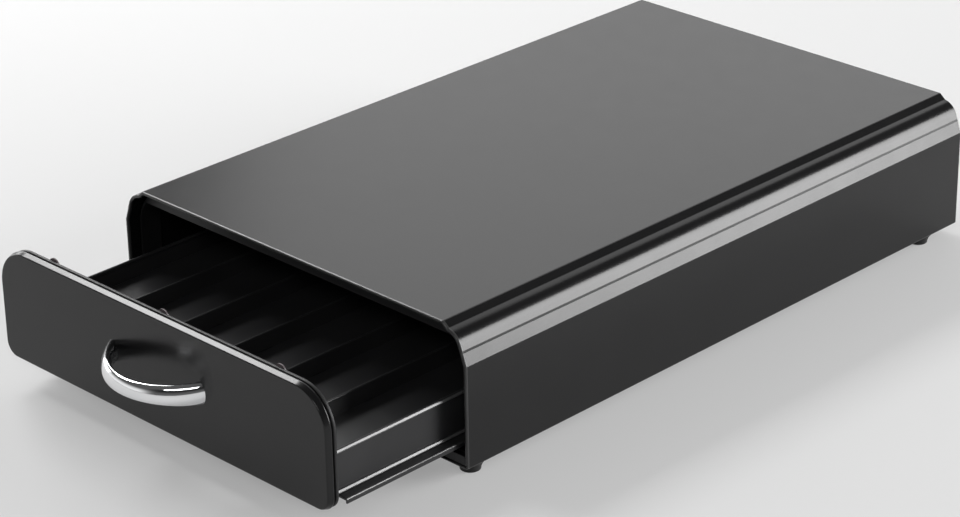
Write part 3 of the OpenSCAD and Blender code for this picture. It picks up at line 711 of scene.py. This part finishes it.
def wall_section(outwards):
    """The wall's section as (depth in, height), from the underside of the floor round to its top. Each bead
    stands outside the wall's face where outwards is true, and is a circle inside it where not."""
    turn = np.linspace(-math.pi / 2, math.pi / 2, 13)
    if outwards:
        bead_depth, bead_z = rolled_bead()
        low_depth, top_depth = bead_depth, bead_depth
        low_z, top_z = tray_z + bead_z, tray_top - 2 * bead_r + bead_z
        centre = 0
    else:
        low_depth = np.where(turn < 0, bead_r * (1 - np.cos(turn)), 0)
        top_depth = np.where(turn > 0, bead_r * (1 - np.cos(turn)), 0)
        low_z = tray_z + bead_r + bead_r * np.sin(turn)
        top_z = tray_top - bead_r + bead_r * np.sin(turn)
        centre = bead_r
    end = math.asin((sheet_t - centre) / bead_r)
    inner_turn = np.linspace(math.pi / 2, -math.pi / 2 + (math.pi / 2 - end), 13)[1:]
    inner = np.stack([centre + bead_r * np.cos(inner_turn),
                      tray_top - bead_r + bead_r * np.sin(inner_turn)], 1)
    fillet_turn = np.linspace(0, math.pi / 2, 5)
    fillet = np.stack([sheet_t + 1 - np.cos(fillet_turn), tray_floor + 1 - np.sin(fillet_turn)], 1)
    low_bead = np.stack([low_depth, low_z], 1)
    top_bead = np.stack([top_depth, top_z], 1)
    return np.concatenate([[(floor_in, tray_z)], low_bead, top_bead, inner, fillet, [(floor_in, tray_floor)]])


def tray_rings(section):
    """The tray's plan at each point of a wall section, drawn in by that point's depth."""
    rings = []
    for depth, height in section:
        ring = rounded(moved(tray_plan, depth), steps=8)
        rings.append(np.insert(ring, 2, height, axis=1))
    return np.array(rings)


long_rings = tray_rings(wall_section(outwards=True))
short_rings = tray_rings(wall_section(outwards=False))
straight = rounded(tray_plan, steps=8)
facing_x = np.clip((np.abs(straight[:, 0]) - (tray_x - plan_r)) / plan_r, 0, 1)
facing_y = np.maximum(tray_front + plan_r - straight[:, 1], straight[:, 1] - (tray_back - plan_r)) / plan_r
share = facing_x ** 2 / (facing_x ** 2 + np.clip(facing_y, 0, 1) ** 2 + 1e-9)
share = share[None, :, None]
tray_shape = capped(long_rings * share + short_rings * (1 - share))

satin_grey = powder_coat("satin_grey_coat", (0.020, 0.020, 0.021), (0.026, 0.026, 0.027),
                         roughness=0.30, gloss=0.38, peel=0.002)
# A highlight is painted along the outside of the beads, in pale grey and a little metal.
tree = satin_grey.node_tree
painted_edge_highlight(satin_grey, ranged(tree, away_from(tree, "X", 0, tray_x + 0.5, tray_x + 0.9), 0, 0.32))
add_piece("folded_tray", "drawer", [tray_shape], satin_grey, "tray_steel", "drawer_tray")


# ---- Pod deck ----
# The raised shelf that the pods stand on: one 0.8 mm sheet bent down at both sides and turned in as feet,
# with two ribs under it. Four screws hold it to the tray's floor.
deck_t = 0.8
deck_bend = 1.8
deck_foot_w = 20.0
rib_gap = 0.05
lanes = 6
divider_t = 1.6
deck_screw_side, deck_screw_end = 16, 25

deck_low, deck_high = box_mm("pod_deck")
deck_x = deck_high[0]
deck_line = [(deck_x - deck_foot_w, deck_low[2], 0), (deck_x, deck_low[2], deck_bend),
             (deck_x, deck_high[2], deck_bend)]
deck_sheet = extruded(strip(mirror_back(deck_line), deck_t, 0.2), deck_low[1], deck_high[1])
lane_pitch = (2 * (tray_x - sheet_t) + divider_t) / lanes
rib_x = 1.5 * lane_pitch
rib_foot, rib_top = deck_low[2], deck_high[2] - deck_t - rib_gap
rib = extruded([(rib_x, rib_foot, 0), (rib_x + deck_t, rib_foot, 0), (rib_x + deck_t, rib_top, 0),
                (rib_x, rib_top, 0)], deck_low[1], deck_high[1], edge=0.15)
add_piece("bent_deck", "drawer", [deck_sheet, rib, mirrored(rib)], satin_grey, "tray_steel", "pod_deck")

deck_screws = [screw(m3, 5, (side * (tray_x - deck_screw_side), y, tray_z), (0, 0, 1))
               for side in (-1, 1) for y in (deck_low[1] + deck_screw_end, deck_high[1] - deck_screw_end)]
add_piece("deck_fixings", "drawer", deck_screws, bright_steel, "plated_steel", "deck_screws")


# ---- Lane dividers ----
# Five strips of sheet folded double with the round fold on top. Three tabs on each pass through the deck
# and keep it upright between two rows of pods.
divider_tab_w = 10.0

for number in range(1, lanes):
    node = f"lane_divider_{number}"
    low, high = box_mm(node)
    half = (high[0] - low[0]) / 2
    middle = (low[0] + high[0]) / 2
    foot = deck_high[2] - 0.05
    fold_corners = [(middle - half, foot, 0), (middle + half, foot, 0),
                    (middle + half, high[2], half - 0.02), (middle - half, high[2], half - 0.02)]
    fold = extruded(fold_corners, low[1], high[1], edge=0.3, steps=8)
    tabs = []
    for share_along in (1 / 6, 1 / 2, 5 / 6):
        tab_y = low[1] + (high[1] - low[1]) * share_along
        tabs.append(extruded([(middle - half, low[2], 0.1), (middle + half, low[2], 0.1),
                              (middle + half, foot + 0.4, 0), (middle - half, foot + 0.4, 0)],
                             tab_y - divider_tab_w / 2, tab_y + divider_tab_w / 2, edge=0.15, steps=2))
    add_piece(f"folded_divider_{number}", "drawer", [fold, *tabs], satin_grey, "tray_steel", node)


# ---- Runners ----
# The drawer's half of each slide: a flange riveted under the tray that rides on the front roller, with a
# lip turned down outside it, and a lug at the back for the rear roller's pin. Dark coat, with a highlight
# painted pale and metallic along the lip's top outer edge.
runner_t = 1.5
runner_lip_t = 1.0
runner_lip_h = 3.1
lug_t = 1.2
lug_l = 16.0

runner_coat, tree, shader = new_finish("runner_coat_painted_highlight")
streaks = speckle(tree, 5, 5, stretch=(1, 0.06, 1))
runner_high = box_mm("runner_right")[1]
# A highlight is painted along each runner's top outer edge: pale metallic steel mixed in, in streaks.
outer = away_from(tree, "X", 0, runner_high[0] - 0.8, runner_high[0] - 0.4)
upper = away_from(tree, "Z", 0, runner_high[2] - 1.1, runner_high[2] - 0.6)
painted_highlight_mask = product(tree, product(tree, outer, upper), ranged(tree, streaks, 0.35, 1))
coat_shade = mixed(tree, ranged(tree, streaks, 0, 1), (0.010, 0.010, 0.011), (0.018, 0.018, 0.019))
highlight_shade = mixed(tree, ranged(tree, streaks, 0, 1), (0.06, 0.06, 0.06), (0.14, 0.14, 0.14))
tree.links.new(mixed(tree, painted_highlight_mask, coat_shade, highlight_shade), shader.inputs["Base Color"])
tree.links.new(painted_highlight_mask, shader.inputs["Metallic"])
tree.links.new(ranged(tree, streaks, 0.32, 0.44), shader.inputs["Roughness"])
raised(tree, shader, (streaks, 0.004))

for name, node in (("slide_runner_left", "runner_left"), ("slide_runner_right", "runner_right")):
    low, high = box_mm(node)
    inner_x, outer_x = sorted((abs(low[0]), abs(high[0])))
    top = high[2]
    foot = top - runner_t
    lug_y = high[1] - lug_l
    bar_corners = [(inner_x, foot, 0.2), (outer_x - runner_lip_t, foot, 0.3),
                   (outer_x - runner_lip_t, top - runner_lip_h, 0.3), (outer_x, top - runner_lip_h, 0.3),
                   (outer_x, top, 0.9), (inner_x, top, 0.2)]
    lug_corners = [(inner_x, foot, 0.2), (tray_x - lug_t, foot, 0.6), (tray_x - lug_t, low[2], 0.2),
                   (tray_x, low[2], 0.2), (tray_x, top, 0.4), (inner_x, top, 0.2)]
    shapes = [extruded(bar_corners, low[1], lug_y + 0.1), extruded(lug_corners, lug_y, high[1])]
    if high[0] < 0:
        shapes = [mirrored(shape) for shape in shapes]
    add_piece(name, "drawer", shapes, runner_coat, "runner_steel", node)

rivet_r, rivet_head_r, rivet_head_h = 1.5, 3.0, 1.2
rivet_side = 6
rivet_from_front, rivet_from_back = 20, 48
rivet_z = tray_z - runner_t
rivet_front = box_mm("runner_right")[0][1] + rivet_from_front
rivet_back = tray_back - rivet_from_back
dome_turn = np.linspace(0.05, math.pi / 2, 8)
rivet_head = np.stack([rivet_head_r * np.sin(dome_turn), -rivet_head_h * np.cos(dome_turn)], 1)
rivet_shank = [(rivet_r, 0), (rivet_r, tray_floor - rivet_z - 0.02), (0.3, tray_floor - rivet_z)]
rivet_profile = np.concatenate([rivet_head, rivet_shank])
rivets = [turned(rivet_profile, (side * (tray_x - rivet_side), y, rivet_z), (0, 0, 1), 32)
          for side in (-1, 1) for y in np.linspace(rivet_front, rivet_back, 3)]
add_piece("domed_rivets", "drawer", rivets, bright_steel, "plated_steel", "runner_rivets")


# ---- Front panel ----
# A front skin pressed from 1.2 mm sheet, its face turned back over a round edge all the way. A groove parts
# it from the plate behind, which has a flange inside the skin, tapped bosses and the handle's spacers.
skin_t = 1.2
edge_drop, edge_depth = 1.05, 3.0
skin_d = 3.7
plate_t = 2.0
plate_in = 0.2          # from the skin's edge to the plate's
panel_top_r = 22.5
panel_bottom_r = 9.0
flange_gap = 0.2
flange_t = 1.0
tapped_r = 2.4


def panel_rings(section):
    """The panel's outline at each point of a section of (depth in, distance back), drawn in by that depth."""
    rings = []
    for depth, back_by in section:
        outline = rounded(moved(panel_corners, depth), steps=24)
        rings.append(np.insert(outline, 1, face_y + back_by, axis=1))
    return np.array(rings)


def boss_profile(radius, height, chamfer):
    """The profile of a tapped boss with a chamfered end."""
    return [(radius, 0), (radius, height - chamfer), (radius - chamfer, height), (tapped_r, height)]


panel_low, panel_high = box_mm("front_panel")
panel_x = panel_high[0]
face_y = panel_low[1]
panel_back = box_mm("panel_back_plate")[1][1]
panel_corners = [(panel_x, panel_low[2], panel_bottom_r), (panel_x, panel_high[2], panel_top_r),
                 (-panel_x, panel_high[2], panel_top_r), (-panel_x, panel_low[2], panel_bottom_r)]
inner_drop = edge_drop * 0.8
flat_in = 6.0
skin_section = rounded([(flat_in, 0, 0), (edge_drop, 0, 0.9), (0, edge_depth, 1.2), (0, skin_d, 0.35),
                        (skin_t, skin_d, 0.35), (skin_t, edge_depth, 1.0),
                        (skin_t + inner_drop, skin_t, 0.5), (flat_in, skin_t, 0)], closed=False, steps=6)
pressed_front = capped(panel_rings(skin_section))
add_piece("pressed_front", "drawer", [pressed_front], satin_black, "case_steel", "front_panel")

handle_span = 67.0
handle_z = (box_mm("bow_handle")[0][2] + box_mm("bow_handle")[1][2]) / 2
panel_screw_xs = (-95, -45, 45, 95)
panel_screw_z = tray_floor + 7
plate = extruded(moved(panel_corners, plate_in), panel_back - plate_t, panel_back, edge=0.6, steps=24)
flange_out, flange_in = skin_t + flange_gap, skin_t + flange_gap + flange_t
flange_front, flange_rear = skin_d - 0.5, skin_d + 1.9
plate_flange = skin(panel_rings([(flange_out, flange_front), (flange_out, flange_rear),
                                 (flange_in, flange_rear), (flange_in, flange_front)]), path_closed=True)
root_y = panel_back - plate_t / 2
panel_boss = boss_profile(radius=4.0, height=3.5, chamfer=0.3)
handle_spacer = boss_profile(radius=4.5, height=4.75, chamfer=0.2)
handle_screw_xs = (-handle_span / 2, handle_span / 2)
bosses = [turned(panel_boss, (x, root_y, panel_screw_z), (0, -1, 0)) for x in panel_screw_xs]
bosses += [turned(handle_spacer, (x, root_y, handle_z), (0, -1, 0)) for x in handle_screw_xs]
add_piece("closing_plate", "drawer", [plate, plate_flange, *bosses], matt_black, "inner_steel",
          "panel_back_plate")

panel_screws = [screw(m4, 5, (x, tray_front + sheet_t, panel_screw_z), (0, -1, 0)) for x in panel_screw_xs]
add_piece("panel_fixings", "drawer", panel_screws, bright_steel, "plated_steel", "panel_screws")


# ---- Closing bumpers ----
# Three soft domes of pale translucent silicone, stuck to the back of the panel near its top. They meet the
# hoop's flange as the drawer closes.
bumper_low, bumper_high = box_mm("closing_bumpers")
bumper_h = bumper_high[1] - bumper_low[1]
bumper_r = (bumper_high[2] - bumper_low[2]) / 2
bumper_z = (bumper_high[2] + bumper_low[2]) / 2
bumper_x = bumper_high[0] - bumper_r
bumper_turn = np.linspace(0, math.pi / 2 * 0.97, 12)
bumper_profile = [(bumper_r, 0), (bumper_r, bumper_h * 0.3)]
bumper_profile += [(bumper_r * math.cos(turn), bumper_h * (0.3 + 0.7 * math.sin(turn)))
                   for turn in bumper_turn[1:]]
bumpers = [turned(bumper_profile, (x, bumper_low[1], bumper_z), (0, 1, 0), 40)
           for x in (-bumper_x, 0, bumper_x)]
silicone = moulded("pale_silicone", (0.09, 0.075, 0.08), (0.13, 0.11, 0.115), 0.30, 0.4, 1.2, 0.004)
add_piece("silicone_domes", "drawer", bumpers, silicone, "silicone", "closing_bumpers")


# ---- Bow handle ----
# A cast zinc bow, polished and chromed: an arc in plan, tall and thick where its two ends meet the panel
# and slimmer in the middle. Two screws from behind the panel hold it.
end_h, middle_h = 13.0, 9.6
end_t, middle_t = 7.6, 4.4
bow_x = handle_span / 2 + 1.4
end_share = 0.3         # of each half of the bow, over which its section turns

bow_low, bow_high = box_mm("bow_handle")
# The section leans back a little between the ends.
middle_lean = math.radians(12)
middle_half = math.hypot(middle_t / 2 * math.cos(middle_lean), middle_h / 2 * math.sin(middle_lean))
bow_depth = face_y - bow_low[1] - middle_half
bow_r = (bow_x ** 2 + bow_depth ** 2) / (2 * bow_depth)
share = np.linspace(-1, 1, 97)[:, None]
turn = share * math.asin(bow_x / bow_r)
section_turn = np.linspace(0, 2 * math.pi, 57)[None, :-1]
# Over the last part of each end, the section turns from across the bow into the panel's plane.
flat = np.maximum(0, (np.abs(share) - (1 - end_share)) / end_share)
out_x = (1 - flat) * np.sin(turn) + flat * np.sign(share)
out_y = -(1 - flat) * np.cos(turn)
out_l = np.hypot(out_x, out_y)
out_x, out_y = out_x / out_l, out_y / out_l
wide = (middle_t + (end_t - middle_t) * share ** 2) / 2 / (out_x * np.sin(turn) - out_y * np.cos(turn))
tall = (middle_h + (end_h - middle_h) * share ** 2) / 2
lean = middle_lean * (1 - share ** 4)
across = wide * np.cos(section_turn) * np.cos(lean) - tall * np.sin(section_turn) * np.sin(lean)
bow = np.stack([bow_r * np.sin(turn) + out_x * across,
                face_y + bow_r - bow_depth - bow_r * np.cos(turn) + out_y * across,
                handle_z + tall * np.sin(section_turn) * np.cos(lean)
                + wide * np.cos(section_turn) * np.sin(lean)], -1)

chrome, tree, shader = new_finish("polished_chrome")
tree.links.new(mixed(tree, ranged(tree, speckle(tree, 18, 3), 0, 1), (0.78, 0.79, 0.80), (0.83, 0.83, 0.84)),
               shader.inputs["Base Color"])
tree.links.new(ranged(tree, speckle(tree, 4, 4), 0.05, 0.11), shader.inputs["Roughness"])
shader.inputs["Metallic"].default_value = 1
raised(tree, shader, (speckle(tree, 3, 1), 0.002))
add_piece("chromed_bow", "drawer", [capped(bow)], chrome, "chrome", "bow_handle")

handle_screws = [screw(m4, 11.6, (x, panel_back, handle_z), (0, -1, 0)) for x in handle_screw_xs]
add_piece("handle_fixings", "drawer", handle_screws, bright_steel, "plated_steel", "handle_screws")


# ---- Studio ----
# A plain pale floor, a large soft box behind on the left, a key box over the left, lower boxes on the left,
# the right and in front, and a grey room that is darker above and towards the front right. Distances here
# are in metres.
floor_half = 6.0
floor_z = -0.0002

floor_mesh = bpy.data.meshes.new("floor")
floor_mesh.from_pydata([(-floor_half, -floor_half, floor_z), (floor_half, -floor_half, floor_z),
                        (floor_half, floor_half, floor_z), (-floor_half, floor_half, floor_z)],
                       [], [(0, 1, 2, 3)])
floor = bpy.data.objects.new("floor", floor_mesh)
bpy.context.scene.collection.objects.link(floor)


def seen_directly(tree):
    """1 for rays from the camera and for those mirrored in gloss or glass, and 0 for those that light."""
    path = tree.nodes.new("ShaderNodeLightPath")
    total = path.outputs["Is Camera Ray"]
    for name in ("Is Glossy Ray", "Is Transmission Ray"):
        either = tree.nodes.new("ShaderNodeMath")
        either.operation = "MAXIMUM"
        tree.links.new(total, either.inputs[0])
        tree.links.new(path.outputs[name], either.inputs[1])
        total = either.outputs[0]
    return total


floor_paint, tree, shader = new_finish("pale_floor")
shader.inputs["Base Color"].default_value = (0.41, 0.41, 0.41, 1)
shader.inputs["Roughness"].default_value = 0.9
shader.inputs["Specular IOR Level"].default_value = 0
shader.inputs["Emission Color"].default_value = (1, 1, 1, 1)
tree.links.new(product(tree, seen_directly(tree), 0.30), shader.inputs["Emission Strength"])
floor_mesh.materials.append(floor_paint)


def soft_box(name, direction, distance, width, height, radiance, along=(0, 0, 1)):
    """A flat soft box that faces the object from a direction, with its height along a given line. Its power
    is pi times its area times the radiance that it shows."""
    lamp = bpy.data.lights.new(name, "AREA")
    lamp.shape = "RECTANGLE"
    lamp.size = width
    lamp.size_y = height
    lamp.energy = math.pi * width * height * radiance
    box = bpy.data.objects.new(name, lamp)
    towards = Vector(direction).normalized()
    side = Vector(along).cross(towards).normalized()
    box.matrix_world = Matrix.Translation(towards * distance) @ Matrix(
        (side, towards.cross(side), towards)).transposed().to_4x4()
    box.visible_camera = False
    bpy.context.scene.collection.objects.link(box)


soft_box("back_left_box", (-0.41, 0.67, 0.60), 2.2, 1.7, 1.7, 1.3)
soft_box("key_box", (-0.68, 0, 0.73), 2.0, 0.5, 1.2, 15, along=(0, 1, 0))
soft_box("left_strip", (-0.86, 0.25, 0.45), 2.0, 0.5, 0.9, 8)
soft_box("right_strip", (0.72, 0.64, 0.27), 2.2, 1.17, 1.14, 12.2, along=(-0.35, 0, 0.94))
soft_box("front_box", (0.45, -0.68, 0.60), 2.0, 1.2, 0.3, 6)
soft_box("left_box", (-0.97, -0.10, 0.22), 2.0, 1.2, 0.7, 2)

world = bpy.data.worlds.new("studio")
bpy.context.scene.world = world
world.use_nodes = True
tree = world.node_tree
sky = tree.nodes["Background"]
sky.inputs["Color"].default_value = (1, 1, 1, 1)
direction = tree.nodes.new("ShaderNodeTexCoord")
split = tree.nodes.new("ShaderNodeSeparateXYZ")
sector = tree.nodes.new("ShaderNodeVectorMath")
sector.operation = "DOT_PRODUCT"
sector.inputs[1].default_value = (0.707, -0.707, 0)     # the front right
tree.links.new(direction.outputs["Generated"], split.inputs["Vector"])
tree.links.new(direction.outputs["Generated"], sector.inputs[0])
darker_above = stepped(tree, split.outputs["Z"], 0.08, 0.45, 1, 0.1)
darker_aside = stepped(tree, sector.outputs["Value"], 0.45, 0.8, 1, 0.12)
tree.links.new(product(tree, darker_above, darker_aside), sky.inputs["Strength"])

bpy.context.scene.view_settings.view_transform = "Standard"
